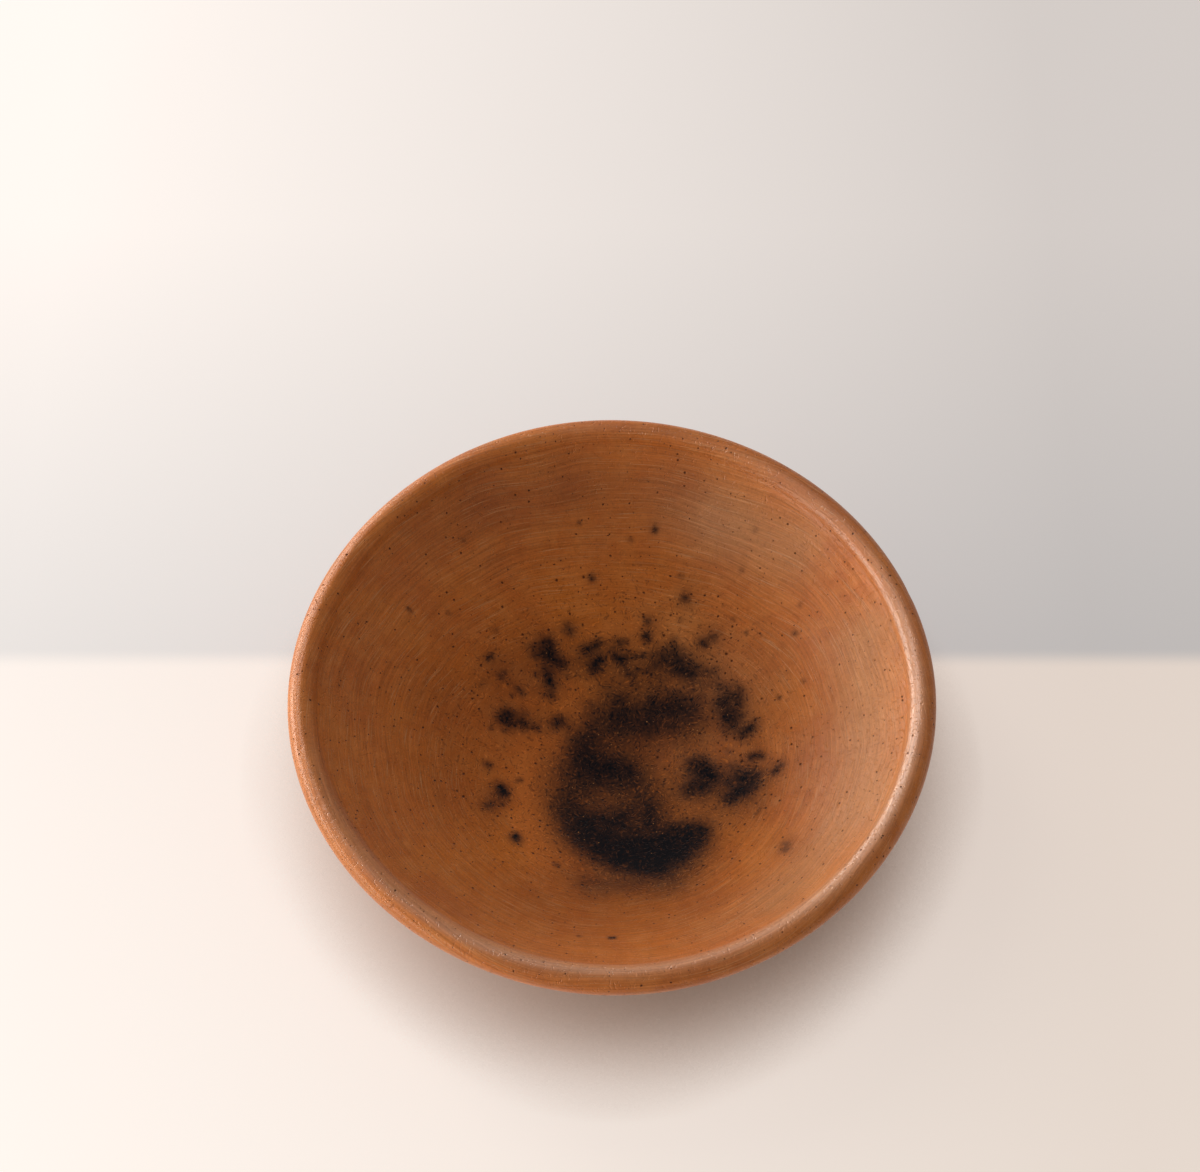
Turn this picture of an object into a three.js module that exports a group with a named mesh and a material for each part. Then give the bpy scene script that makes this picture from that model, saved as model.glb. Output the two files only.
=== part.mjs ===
// A round, shallow terracotta bowl, coil-built by hand and fired without a glaze.
// Units are millimetres. +Z is up, and the origin is the middle of the flat foot that it stands on.
//
// A potter makes such a bowl from separate pieces of clay: a flat pad for the bottom, coils laid ring on ring
// for the wall, and a thicker coil for the rim. Each piece is luted to the one below along a slanting lap.
// Here each piece is its own closed solid, and neighbours lie face to face along the lap, a slip layer apart.
import * as THREE from "three";

// Overall sizes
const rimDiameter = 200; // over the outside of the rim, on average round the turn
const bowlHeight = 55; // from the table to the top of the rim, on average round the turn
const footDiameter = 54; // flat patch that the bowl stands on

// Clay thicknesses
const rimThickness = 8.8; // the rolled rim, measured across the wall
const wallThickness = 7.2; // the wall just below the rim
const floorThickness = 7.6; // in the middle of the bottom

// Curves of the section: 1 is a straight line, 2 is a parabola
const hollowPower = 1.9; // how the middle line of the clay rises from the centre to the rim
const bellyPower = 1.35; // how the outside rises from the foot to the rim

// Shoulder between the rolled rim and the wall
const shoulderReach = 2.4; // from the centre of the bead, along the wall
const shoulderPower = 4; // 2 is a long slope, and more is a shorter step

// Pieces of clay
const basePadRadius = 33; // middle of the lap between the base pad and the first coil
const rimCoilReach = 11; // how far the rim coil comes down the wall, measured along the radius
const wallCoilCount = 4;
const lapLength = 5; // run of each slanting lap, low inside and high outside
const slipLayer = 0.3; // room for the liquid clay that glues one piece to the next

// Hand-made shape: the rim is a little square and a little wavy
const squareness = 0.3; // most that the rim stands out of round
const rimWave = 0.25; // most that the rim stands above or below its plane
const squareOrder = 4; // bulges in one turn
const waveOrder = 2; // rises in one turn

// How finely the curves are drawn
const turnSteps = 72;
const coilSteps = 3;
const padSteps = 5;
const rimCoilSteps = 8;
const beadSteps = 12;

const rimRadius = rimDiameter / 2;
const footRadius = footDiameter / 2;
const beadRadius = rimThickness / 2;
const halfWall = wallThickness / 2;
const beadBulge = beadRadius - halfWall;

// Centre of the rim bead in the section
const beadCentre = new THREE.Vector2(rimRadius - beadRadius, bowlHeight - beadRadius);

// Middle line of the clay, from the axis out to the bead, as height over radius
const middleLow = floorThickness - halfWall;
const middleRise = beadCentre.y - middleLow;

function middlePoint(radius) {
  return new THREE.Vector2(radius, middleLow + middleRise * (radius / beadCentre.x) ** hollowPower);
}

// Unit direction across the wall, pointing into the hollow
function acrossWall(radius) {
  const slope = (hollowPower * middleRise * (radius / beadCentre.x) ** (hollowPower - 1)) / beadCentre.x;
  return new THREE.Vector2(-slope, 1).normalize();
}

// Extra thickness on each side close to the bead, so that wall and bead run into each other
function bulgeAt(distance) {
  return beadBulge * Math.exp(-((distance / shoulderReach) ** shoulderPower));
}

// Point on the inside surface that belongs to a radius of the middle line
function insidePoint(radius) {
  const middle = middlePoint(radius);
  const half = halfWall + bulgeAt(middle.distanceTo(beadCentre));
  return middle.addScaledVector(acrossWall(radius), half);
}

// The outside starts at the edge of the foot and ends at the bead, as a power curve
const outsideEnd = beadCentre.clone().addScaledVector(acrossWall(beadCentre.x), -halfWall);

function outsidePoint(radius) {
  const share = radius / beadCentre.x;
  const curve = new THREE.Vector2(
    footRadius + (outsideEnd.x - footRadius) * share,
    outsideEnd.y * share ** bellyPower,
  );
  return curve.addScaledVector(acrossWall(beadCentre.x), -bulgeAt(curve.distanceTo(outsideEnd)));
}

// Share of the outside curve that lies straight across the wall from a radius of the middle line
function outsideShareAcrossFrom(radius) {
  const middle = middlePoint(radius);
  const across = acrossWall(radius);
  const alongWall = (share) => {
    const gap = outsidePoint(share * beadCentre.x).sub(middle);
    return gap.x * across.y - gap.y * across.x;
  };
  let low = 0;
  let high = 1;
  for (let i = 0; i < 40; i += 1) {
    const half = (low + high) / 2;
    if (alongWall(half) < 0) low = half;
    else high = half;
  }
  return (low + high) / 2;
}

// Where the laps lie: radii of the middle line, from the base pad to the rim coil
const rimLapRadius = beadCentre.x - rimCoilReach;
const lapRadii = Array.from(
  { length: wallCoilCount + 1 },
  (_, i) => basePadRadius + ((rimLapRadius - basePadRadius) * i) / wallCoilCount,
);
// The two faces of a lap: the top of the lower piece, and the underside of the upper one
function lapFace(radius) {
  return {
    inside: radius - lapLength / 2,
    outside: outsideShareAcrossFrom(radius + lapLength / 2) * beadCentre.x,
  };
}
const laps = lapRadii.map((radius) => ({
  top: lapFace(radius - slipLayer / 2),
  underside: lapFace(radius + slipLayer / 2),
}));

// Points on one surface from one radius to another
function run(pointAt, from, to, steps) {
  return Array.from({ length: steps + 1 }, (_, i) => pointAt(from + ((to - from) * i) / steps));
}

// Rounded end of the rim, from the inside of the bead over the top to the outside
function beadCap() {
  const across = acrossWall(beadCentre.x);
  const outward = new THREE.Vector2(across.y, -across.x);
  return Array.from({ length: beadSteps + 1 }, (_, i) => {
    const angle = (Math.PI * i) / beadSteps;
    return beadCentre
      .clone()
      .addScaledVector(across, beadRadius * Math.cos(angle))
      .addScaledVector(outward, beadRadius * Math.sin(angle));
  });
}

// Half sections, each a closed outline that runs anticlockwise: outside going up, inside coming down
function basePadSection() {
  const lap = laps[0].top;
  return [
    new THREE.Vector2(0, 0),
    new THREE.Vector2(footRadius, 0),
    ...run(outsidePoint, 0, lap.outside, padSteps).slice(1),
    ...run(insidePoint, lap.inside, 0, padSteps),
  ];
}

function wallCoilSection(index) {
  const low = laps[index].underside;
  const high = laps[index + 1].top;
  const ring = [
    ...run(outsidePoint, low.outside, high.outside, coilSteps),
    ...run(insidePoint, high.inside, low.inside, coilSteps),
  ];
  return [...ring, ring[0].clone()];
}

function rimCoilSection() {
  const low = laps[wallCoilCount].underside;
  const ring = [
    ...run(outsidePoint, low.outside, beadCentre.x, rimCoilSteps),
    ...beadCap().reverse().slice(1, -1),
    ...run(insidePoint, beadCentre.x, low.inside, rimCoilSteps),
  ];
  return [...ring, ring[0].clone()];
}

// Pulls a turned shape slightly out of round, more towards the rim, and leaves the foot true
function shapeByHand(geometry) {
  const position = geometry.getAttribute("position");
  const point = new THREE.Vector3();
  for (let i = 0; i < position.count; i += 1) {
    point.fromBufferAttribute(position, i);
    const radius = Math.hypot(point.x, point.y);
    if (radius === 0) continue;
    const angle = Math.atan2(point.y, point.x);
    const share = point.z / bowlHeight;
    const stretch = 1 + (share * squareness * Math.cos(squareOrder * angle)) / radius;
    const lift = share * share * rimWave * Math.sin(waveOrder * angle);
    position.setXYZ(i, point.x * stretch, point.y * stretch, point.z + lift);
  }
  return geometry;
}

// LatheGeometry turns its outline about +Y, so the solid is stood up on +Z before it is shaped
function turned(section) {
  const geometry = new THREE.LatheGeometry(section, turnSteps);
  geometry.rotateX(Math.PI / 2);
  return shapeByHand(geometry);
}

function clay(colour, roughness) {
  return new THREE.MeshStandardMaterial({ color: colour, roughness, metalness: 0 });
}

function piece(name, section, material) {
  const mesh = new THREE.Mesh(turned(section), material);
  mesh.name = name;
  return mesh;
}

const wallClay = clay("#a5653a", 0.62);
const rimClay = clay("#ad6c42", 0.58);
const floorClay = clay("#7a4a2b", 0.66);

const bowl = new THREE.Group();
bowl.add(piece("base_pad", basePadSection(), floorClay));
for (let i = 0; i < wallCoilCount; i += 1) {
  bowl.add(piece(`wall_coil_${i + 1}`, wallCoilSection(i), wallClay));
}
bowl.add(piece("rim_coil", rimCoilSection(), rimClay));

export default bowl;
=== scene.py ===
# Looks of a shallow terracotta bowl: coil-built by hand, wiped, rubbed smooth and fired in an open
# fire. Shapes are worked out in millimetres and put into the meshes in metres. +Z is up, and the
# origin is the middle of the flat foot.
import math

import bpy
import numpy as np
from mathutils import Matrix, Vector


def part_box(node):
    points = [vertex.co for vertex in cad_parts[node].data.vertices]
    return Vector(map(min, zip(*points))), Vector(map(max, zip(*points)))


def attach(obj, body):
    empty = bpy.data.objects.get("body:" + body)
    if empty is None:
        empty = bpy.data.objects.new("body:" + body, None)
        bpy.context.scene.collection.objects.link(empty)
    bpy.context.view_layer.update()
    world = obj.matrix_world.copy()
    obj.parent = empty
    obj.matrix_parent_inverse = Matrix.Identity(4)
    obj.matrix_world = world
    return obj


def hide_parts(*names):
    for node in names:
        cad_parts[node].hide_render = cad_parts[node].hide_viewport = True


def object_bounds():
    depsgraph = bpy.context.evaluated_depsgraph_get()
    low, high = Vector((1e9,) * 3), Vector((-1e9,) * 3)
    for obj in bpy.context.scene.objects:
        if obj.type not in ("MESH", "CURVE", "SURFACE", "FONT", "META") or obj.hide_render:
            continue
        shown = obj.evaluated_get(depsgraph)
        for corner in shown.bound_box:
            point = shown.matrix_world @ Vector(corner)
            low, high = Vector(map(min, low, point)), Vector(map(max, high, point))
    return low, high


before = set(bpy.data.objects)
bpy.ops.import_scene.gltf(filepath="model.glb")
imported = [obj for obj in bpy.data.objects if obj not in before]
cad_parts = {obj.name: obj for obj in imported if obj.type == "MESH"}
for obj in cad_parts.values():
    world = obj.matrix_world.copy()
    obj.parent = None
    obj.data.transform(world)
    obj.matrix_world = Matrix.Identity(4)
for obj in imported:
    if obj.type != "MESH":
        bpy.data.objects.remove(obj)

cadLow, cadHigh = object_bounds()
mm = 0.001

# The section of the clay
section = {
    "rimThickness": 8.8,  # the rolled rim
    "wallThickness": 7.2,  # the wall just below the rim
    "floorThickness": 7.6,  # in the middle of the bottom
    "footDiameter": 54.0,  # flat patch that the bowl stands on
    "hollowPower": 1.9,  # how the middle of the clay rises to the rim: 1 is straight, 2 is a parabola
    "bellyPower": 1.35,  # how the outside rises to the rim
    "shoulderReach": 2.4,  # from the centre of the rim's bead to where it steps down to the wall
    "shoulderPower": 4,  # how short that step is
    "edgeSoftness": 0.7,  # the edge of the foot is rubbed round
    "curvePoints": 3000,  # along the inside and along the outside, before they are put at equal steps
    "capPoints": 400,
    "footPoints": 500,
    "pointSpacing": 0.05,
    "softReach": 4,  # the bell curve that rounds the corners is cut off at this many times its width
}
# The same slight unevenness that the solids have
handShape = {"squareness": 0.3, "squareOrder": 4, "rimWave": 0.25, "waveOrder": 2}

rimRadius = (cadHigh.x - cadLow.x) / 2 / mm - handShape["squareness"]
bowlHeight = (cadHigh.z - cadLow.z) / mm - handShape["rimWave"]
beadRadius = section["rimThickness"] / 2
halfWall = section["wallThickness"] / 2
footRadius = section["footDiameter"] / 2
beadX, beadZ = rimRadius - beadRadius, bowlHeight - beadRadius
middleLow = section["floorThickness"] - halfWall
middleRise = beadZ - middleLow


# Unit direction across the wall into the hollow, square to a line that rises as a power of the radius
def acrossWall(radius):
    power = section["hollowPower"]
    slope = power * middleRise * (radius / beadX) ** (power - 1) / beadX
    return np.stack([-slope, np.ones_like(slope)], -1) / np.hypot(slope, 1)[..., None]


# Middle line of the clay: its height is a low point plus a rise times a power of the radius
def middleLine(radius):
    return np.stack([radius, middleLow + middleRise * (radius / beadX) ** section["hollowPower"]], -1)


# Extra thickness near the bead: a flat-topped bell curve of the distance to it
def bulgeAt(points, centre):
    distance = np.hypot(points[:, 0] - centre[0], points[:, 1] - centre[1]) / section["shoulderReach"]
    return (beadRadius - halfWall) * np.exp(-(distance ** section["shoulderPower"]))


# Whole outline from the middle of the hollow, over the rim and down to the middle of the foot:
# a power curve inside, a half circle over the bead, a power curve outside and a straight foot,
# then put at equal steps and blurred with a bell curve, which rounds its corners
def bowlOutline():
    beadCentre = np.array([beadX, beadZ])
    across = acrossWall(np.array([beadX]))[0]
    outward = np.array([across[1], -across[0]])

    radius = np.linspace(0, beadX, section["curvePoints"])
    middle = middleLine(radius)
    inside = middle + acrossWall(radius) * (halfWall + bulgeAt(middle, beadCentre))[:, None]

    angle = np.linspace(0, np.pi, section["capPoints"])[1:-1, None]
    cap = beadCentre + beadRadius * (across * np.cos(angle) + outward * np.sin(angle))

    share = np.linspace(1, 0, section["curvePoints"])
    outsideEnd = beadCentre - across * halfWall
    outside = np.stack([
        footRadius + (outsideEnd[0] - footRadius) * share,
        outsideEnd[1] * share ** section["bellyPower"],
    ], -1)
    outside -= across * bulgeAt(outside, outsideEnd)[:, None]

    footX = np.linspace(footRadius, 0, section["footPoints"])[1:]
    foot = np.stack([footX, np.zeros_like(footX)], -1)
    points = np.concatenate([inside, cap, outside, foot])

    arc = np.concatenate([[0], np.cumsum(np.hypot(*np.diff(points, axis=0).T))])
    evenArc = np.linspace(0, arc[-1], int(arc[-1] / section["pointSpacing"]))
    even = np.stack([np.interp(evenArc, arc, points[:, 0]), np.interp(evenArc, arc, points[:, 1])], -1)
    reach = int(section["softReach"] * section["edgeSoftness"] / section["pointSpacing"])
    bell = np.exp(-0.5 * (np.arange(-reach, reach + 1) / (reach / section["softReach"])) ** 2)
    bell /= bell.sum()
    mirror = np.array([-1, 1])  # past the axis the outline goes on as its own mirror image
    padded = np.concatenate([even[1:reach + 1][::-1] * mirror, even, even[-reach - 1:-1][::-1] * mirror])
    soft = np.stack([np.convolve(padded[:, i], bell, "valid") for i in (0, 1)], -1)
    soft[[0, -1], 0] = 0

    insideArc = arc[:len(inside)]
    outsideArc = arc[len(inside) + len(cap):][:len(outside)]
    return evenArc, soft, (radius, insideArc), (outside, outsideArc)


outlineArc, outlinePoints, insideTrack, outsideTrack = bowlOutline()
along = np.gradient(outlinePoints, outlineArc, axis=0)
outlineNormals = np.stack([-along[:, 1], along[:, 0]], -1) / np.hypot(*along.T)[:, None]
wholeArc = outlineArc[-1]
rimTopArc = outlineArc[np.argmax(outlinePoints[:, 1])]
footEdgeArc = wholeArc - footRadius
print(f"section: {wholeArc:.1f} mm round, rim at {rimTopArc:.1f} mm, foot from {footEdgeArc:.1f} mm")

# Pieces of clay, from the middle to the rim, and the slanting laps between them
coils = {
    "names": ["base_pad", "wall_coil_1", "wall_coil_2", "wall_coil_3", "wall_coil_4", "rim_coil"],
    "basePadRadius": 33.0,  # middle of the first lap
    "rimCoilReach": 11.0,  # the rim coil comes this far down the wall
    "lapLength": 5.0,
}
lapRadii = np.linspace(coils["basePadRadius"], beadX - coils["rimCoilReach"], len(coils["names"]) - 1)


# Where a lap comes out, as arc lengths: low inside, and high outside, straight across the wall
def lapArcs(radius):
    half = coils["lapLength"] / 2
    inside = np.interp(radius - half, *insideTrack)
    outsidePoints, outsideArcs = outsideTrack
    middle = middleLine(np.array([radius + half]))[0]
    across = acrossWall(np.array([radius + half]))[0]
    gap = outsidePoints - middle
    side = gap[:, 0] * across[1] - gap[:, 1] * across[0]
    return inside, np.interp(0, side[::-1], outsideArcs[::-1])


laps = [lapArcs(radius) for radius in lapRadii]

# Marks of the hand in the shape itself
handWork = {
    "seed": 11,
    # Uneven wall, and rings from the cloth: how many waves, their depth, their lengths along the clay,
    # and the most that one turn holds
    "slow": {"count": 16, "depth": 0.035, "shortest": 26, "longest": 80, "turns": 6},
    "wiping": {"count": 22, "depth": 0.004, "shortest": 2.4, "longest": 7, "turns": 2},
    "depthSpread": (0.5, 1.5),  # share of that depth
    "fadeAtMiddle": 14.0,  # the marks run out towards the axis
    "fadeAtFoot": 3.0,
    "dents": [  # turn in degrees, arc from the rim's top, width, depth
        (-81, -1.0, 1.6, 0.16), (-84, 1.0, 1.3, 0.12), (-76, 2.2, 1.5, 0.14), (-73, 0.8, 1.2, 0.10),
        (-64, 2.5, 1.4, 0.12), (98, -3.5, 1.7, 0.12), (60, 0.5, 1.6, 0.10), (150, 3.0, 1.8, 0.12),
        (205, 1.5, 1.5, 0.10), (20, 6.5, 2.2, 0.15), (250, 12.0, 2.4, 0.18), (120, 15.0, 2.0, 0.15),
    ],
}
waveDice = np.random.default_rng(handWork["seed"])


def pickWaves(kind):
    count = kind["count"]
    length = waveDice.uniform(kind["shortest"], kind["longest"], count)
    return {
        "turns": waveDice.integers(-kind["turns"], kind["turns"] + 1, count),
        "along": 2 * np.pi / length * waveDice.choice([-1, 1], count),
        "start": waveDice.uniform(0, 2 * np.pi, count),
        "depth": kind["depth"] * waveDice.uniform(*handWork["depthSpread"], count),
    }


waves = [pickWaves(handWork["slow"]), pickWaves(handWork["wiping"])]


def smoothStep(low, high, value):
    share = np.clip((value - low) / (high - low), 0, 1)
    return share * share * (3 - 2 * share)


# Height of the hand's marks: a sum of cosine waves in the turn and the arc, less the bell-shaped dents
def unevenness(arc, turn):
    height = np.zeros((len(arc), len(turn)))
    for kind in waves:
        for turns, run, start, depth in zip(kind["turns"], kind["along"], kind["start"], kind["depth"]):
            height += depth * np.cos(turns * turn[None] + run * arc[:, None] + start)
    radius = np.interp(arc, outlineArc, outlinePoints[:, 0])
    for degrees, fromRim, width, depth in handWork["dents"]:
        aside = (turn[None] - math.radians(degrees) + np.pi) % (2 * np.pi) - np.pi
        distance = np.hypot(aside * radius[:, None], (arc - rimTopArc - fromRim)[:, None])
        height -= depth * np.exp(-((distance / width) ** 2))
    fade = smoothStep(0, handWork["fadeAtMiddle"], radius)
    fade *= 1 - smoothStep(footEdgeArc - handWork["fadeAtFoot"], footEdgeArc, arc)
    return height * fade[:, None]


# The skin of the bowl: the outline turned about Z, moved along its normal by the hand's marks,
# then pulled slightly square and wavy, more towards the rim
def skin(arc, turn):
    normal = np.stack([np.interp(arc, outlineArc, outlineNormals[:, i]) for i in (0, 1)], -1)
    point = np.stack([np.interp(arc, outlineArc, outlinePoints[:, i]) for i in (0, 1)], -1)
    height = unevenness(arc, turn)
    radius = point[:, :1] + normal[:, :1] * height
    z = point[:, 1:] + normal[:, 1:] * height
    share = z / bowlHeight
    square = handShape["squareness"] * np.cos(handShape["squareOrder"] * turn)
    radius = radius + share * square * (radius > 0)
    z = z + share ** 2 * handShape["rimWave"] * np.sin(handShape["waveOrder"] * turn)
    return np.stack([radius * np.cos(turn), radius * np.sin(turn), z], -1)


# Fire clouds inside: where the smoke of the firing, and later soot, blackened the clay.
# Each mark is a stroke from one point to another seen from above, in mm: x, y, x, y, half width, strength
fireClouds = {
    "upperMass": [
        (4, 14, 24, 15, 5.4, 0.62), (14, 17, 18, 16, 3.2, 0.6), (22, 15.5, 25, 15, 2.8, 0.5),
        (2, 11, 10, 11, 4, 0.4), (-6, 13, 0, 12, 4, 0.32), (0.6, 19.3, 3, 19.3, 1.9, 0.6),
        (-7.6, 17.4, -5, 16.4, 1.6, 0.45), (8, 8, 20, 9, 3, 0.25), (15, 20, 21, 19.4, 2, 0.35),
    ],
    "leftMass": [
        (-6.5, -3.5, -2, -5, 4, 0.78), (1, -4, 6, -6.4, 3.2, 0.66), (-8, 0, -4, -8, 5, 0.42),
        (-9, 5, -6, 9, 3.2, 0.45), (-5, -9, 0, -10.5, 4, 0.5), (-11.5, -2, -9.5, 4, 4, 0.32),
        (-16, -8, -17, -18, 4.5, 0.26), (-14, -22, -11, -23, 3.2, 0.45), (-8, -12, -3, -20, 5, 0.35),
        (4, -20, 4.6, -21, 1.6, 0.4), (-15, -26, -12, -32, 4, 0.35),
    ],
    "lowerMass": [
        (-7, -26, 2, -25, 4, 0.8), (-10, -29, -5, -37, 4.6, 0.55), (-6, -31, 3, -33, 4.2, 0.5),
        (11.5, -20, 11.7, -26.5, 1.9, 0.62), (13, -26, 13.6, -29, 1.6, 0.4), (4, -28, 8, -30, 3.4, 0.4),
    ],
    "crescent": [
        (4, -39, 14, -42, 5.2, 1.0), (12, -42, 22, -38, 5.2, 1.0), (18, -34, 26.6, -33.6, 4.8, 1.0),
        (19.5, -29.6, 27, -30.6, 2.2, 0.8), (-4, -36, 4, -40.4, 4.8, 0.86),
        (8, -34.5, 14, -35.5, 3.8, 0.8), (5, -45, 15, -46.4, 2.6, 0.65), (-4, -41, 1, -44, 2.8, 0.4),
    ],
    "rightPair": [
        (30, -8.6, 32, -11, 3.2, 0.95), (25, -14, 28, -14, 3.1, 0.82), (26.4, -6.6, 29, -8, 2.9, 0.7),
        (26, -4.2, 28.4, -5, 1.9, 0.55), (24, -15.6, 23.4, -17, 1.8, 0.35), (31, -13, 30, -15, 2.2, 0.35),
    ],
    "rightLower": [
        (38, -19.8, 40.6, -18.4, 2.8, 0.88), (42, -13.2, 45, -14, 2.4, 0.7),
        (36.7, -14.4, 36.9, -14.8, 1.1, 0.5), (40, -10, 39.6, -12.6, 1.8, 0.55),
        (40, -15.4, 43, -15, 3.2, 0.5), (42.6, -18, 44.4, -16.4, 2.2, 0.5),
        (36.4, -21.6, 37.6, -21.8, 1.8, 0.5), (38.4, -8, 38.8, -8.2, 1.1, 0.45),
    ],
    "rightSpots": [
        (44.2, -6, 45, -6.4, 1.4, 0.85), (46.8, -6.6, 47.4, -7, 1.4, 0.85),
        (50.9, -14.6, 51.4, -13.8, 1.1, 0.65), (52.4, -12.8, 53, -12.2, 1, 0.5),
        (42.2, 2.6, 44.4, 4.2, 2.2, 0.9), (37.4, -2.5, 38, -3, 1.2, 0.35), (51, -13, 52, -11.6, 2, 0.15),
        (36.2, 3, 36.6, 2.6, 1, 0.3),
    ],
    "rightBand": [
        (37.2, 9.4, 38.6, 7, 2.2, 0.85), (36.6, 14.6, 37.8, 11, 2.6, 0.65),
        (37.6, 17, 40.8, 16, 2.2, 0.65), (40.8, 13.6, 41.2, 9.6, 1.7, 0.5),
        (40.6, 18.8, 41, 18.4, 1.2, 0.5), (38.5, 12, 39, 12, 3.8, 0.35), (38, 4.6, 38.6, 5, 1.5, 0.35),
        (35, 14.4, 35.6, 14, 1.4, 0.45), (35.6, 6, 36, 5.4, 1.2, 0.3),
    ],
    "upperRight": [
        (21.6, 28, 26, 25.6, 2.1, 0.86), (25.4, 29, 27, 28, 1.6, 0.5), (20, 36, 20.6, 34.6, 1.7, 0.55),
        (18, 33.2, 21, 32.4, 2, 0.42), (14.4, 31.6, 17.4, 32.6, 2.1, 0.4),
        (18, 29.6, 20.4, 30.4, 2.2, 0.42), (12, 27.8, 14, 28.6, 1.3, 0.45),
        (31, 25.8, 33.8, 25, 1.8, 0.45), (34, 21.2, 35.4, 20, 1.6, 0.42),
        (22.4, 31, 24, 32, 1.8, 0.35), (27, 22.6, 29, 21.6, 1.4, 0.25), (16.4, 25, 17, 24.6, 1.4, 0.3),
    ],
    "topBand": [
        (5.5, 33.2, 10.6, 32.8, 1.1, 0.68), (2.2, 37, 4.6, 37.2, 1.6, 0.72),
        (1.4, 33, 3.6, 31.6, 1.7, 0.88), (5.2, 27.8, 7, 27.2, 1.4, 0.55), (7.8, 24, 8.6, 24.2, 1.1, 0.3),
        (8.4, 29.2, 9, 28.6, 1.2, 0.35), (-8.2, 34.8, -5, 36.2, 1.7, 0.92),
        (-3.4, 37.2, -2.4, 37, 1.3, 0.4), (-5, 31, -3.6, 31.8, 1.7, 0.95),
        (-6.4, 28.6, -5.2, 28.6, 1.6, 0.75), (-3.4, 23.6, -2.2, 23.4, 1.2, 0.35),
        (-1, 35.2, 0, 35.4, 1.1, 0.3), (11, 38.8, 11.8, 38, 1.3, 0.88), (11.4, 43.4, 11.8, 43, 1, 0.6),
        (12, 40, 13, 42, 2.4, 0.14),
    ],
    "upperLeft": [
        (-20.6, 35.6, -20.4, 33.4, 2.3, 0.95), (-22.8, 32.8, -21.6, 32.2, 1.7, 0.6),
        (-18.6, 31, -16, 30, 1.9, 0.82), (-20.4, 26.4, -20.4, 24.4, 1.6, 0.8),
        (-19.2, 22.6, -19.4, 20.8, 1.6, 0.55), (-21.4, 19, -18.8, 18.8, 1.2, 0.3),
        (-25.2, 31.2, -25, 31, 0.9, 0.5), (-26.4, 33.6, -25.8, 33.8, 1.1, 0.45),
        (-24.6, 25.6, -24.2, 25.4, 0.9, 0.45), (-14.4, 41, -13.4, 40.4, 1.4, 0.7),
        (-30, 20, -29, 19, 1.2, 0.65), (-14.2, 26.2, -14, 26, 0.7, 0.5), (-22, 28.2, -21, 29, 1.3, 0.35),
        (-24, 35, -25, 33, 1.8, 0.3), (-17.6, 27.6, -17, 27.4, 1.1, 0.3),
    ],
    "leftBlots": [
        (-35, 9.6, -33.4, 11.4, 1.9, 0.86), (-33, 8.6, -29, 9.4, 2.1, 0.75),
        (-27.4, 8.2, -25.4, 8, 1.4, 0.42), (-24.2, 8, -23.6, 7.8, 1, 0.5),
        (-28.2, 13, -27.2, 12.8, 1, 0.35), (-34.8, 5.6, -34.6, 5, 0.7, 0.55),
        (-38.8, 5.2, -38.4, 5.4, 0.8, 0.5), (-17.9, 10.6, -16.8, 11.4, 1.7, 0.85),
        (-32, 9.6, -29, 9.6, 3.4, 0.2), (-39.6, 28.2, -39, 29, 1.1, 0.75),
        (-36.2, 23.4, -35.6, 22.8, 1, 0.65), (-34.4, 24.6, -34.2, 24.4, 0.8, 0.6),
        (-42, 19, -41, 20.4, 1.2, 0.3), (-38, 37.4, -37.4, 37.6, 0.8, 0.4),
        (-32.2, 17.4, -32, 17.8, 0.6, 0.5), (-19, 10, -16, 10.6, 2.4, 0.16),
        (-15.4, 9, -14, 8.6, 1.2, 0.25),
    ],
    "lowerLeftSpots": [
        (-39.6, -8, -39.3, -8.2, 1.2, 0.65), (-29.8, -12, -29.2, -11.8, 1, 0.55),
        (-35, -16, -34, -17.8, 1.8, 1.0), (-35.4, -20, -34.6, -21, 1.8, 0.3),
        (-39.2, -24, -38.2, -23.4, 1.1, 0.6), (-34.6, -22.5, -34.2, -22.6, 0.7, 0.45),
        (-30, -34.6, -29.8, -35.4, 1.5, 1.0), (-17.2, -44.8, -16.8, -45, 1, 0.55),
    ],
    "farSpots": [
        (24, 49.2, 24.2, 49, 1.1, 0.8), (29.4, 35, 33, 36, 1.3, 0.65), (30.6, 34.2, 30.8, 33.8, 1, 0.7),
        (22.3, 42.5, 22.5, 42.3, 0.7, 0.35), (43.6, 35.6, 43.8, 35.4, 0.7, 0.6),
        (39.6, 40.4, 39.8, 40.2, 0.7, 0.45), (22.6, 55.6, 23, 55.4, 0.8, 0.4),
        (42, 54.2, 42.2, 54, 0.8, 0.35), (58.6, 31.6, 58.9, 31.4, 0.9, 0.55),
        (61, 15.6, 61.2, 15.4, 0.7, 0.55), (53.5, 12.1, 53.6, 12, 0.7, 0.6),
        (-6.6, 56, -6.2, 55.8, 0.9, 0.8), (14, 68.9, 14.4, 68.7, 0.9, 0.75),
        (6, 66.8, 6.4, 66.6, 0.8, 0.35), (53, -43.6, 53.4, -44, 1, 0.45),
        (52.8, -46, 53.2, -45.8, 0.9, 0.6), (-65, 37, -64.7, 36.9, 0.7, 0.6),
        (-52.9, 39.4, -52.6, 39.5, 0.6, 0.45), (-48, 61.4, -47.8, 61.3, 0.6, 0.4),
        (-0.8, -77.5, 0.6, -77.5, 0.6, 0.9), (-10.2, -77, -9.9, -77, 0.5, 0.6),
        (60.4, 39.6, 60.6, 39.4, 0.7, 0.4), (46.4, 64.4, 46.6, 64.3, 0.7, 0.4),
        (-10.6, 71, -10.4, 70.9, 0.6, 0.5),
    ],
}
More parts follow.
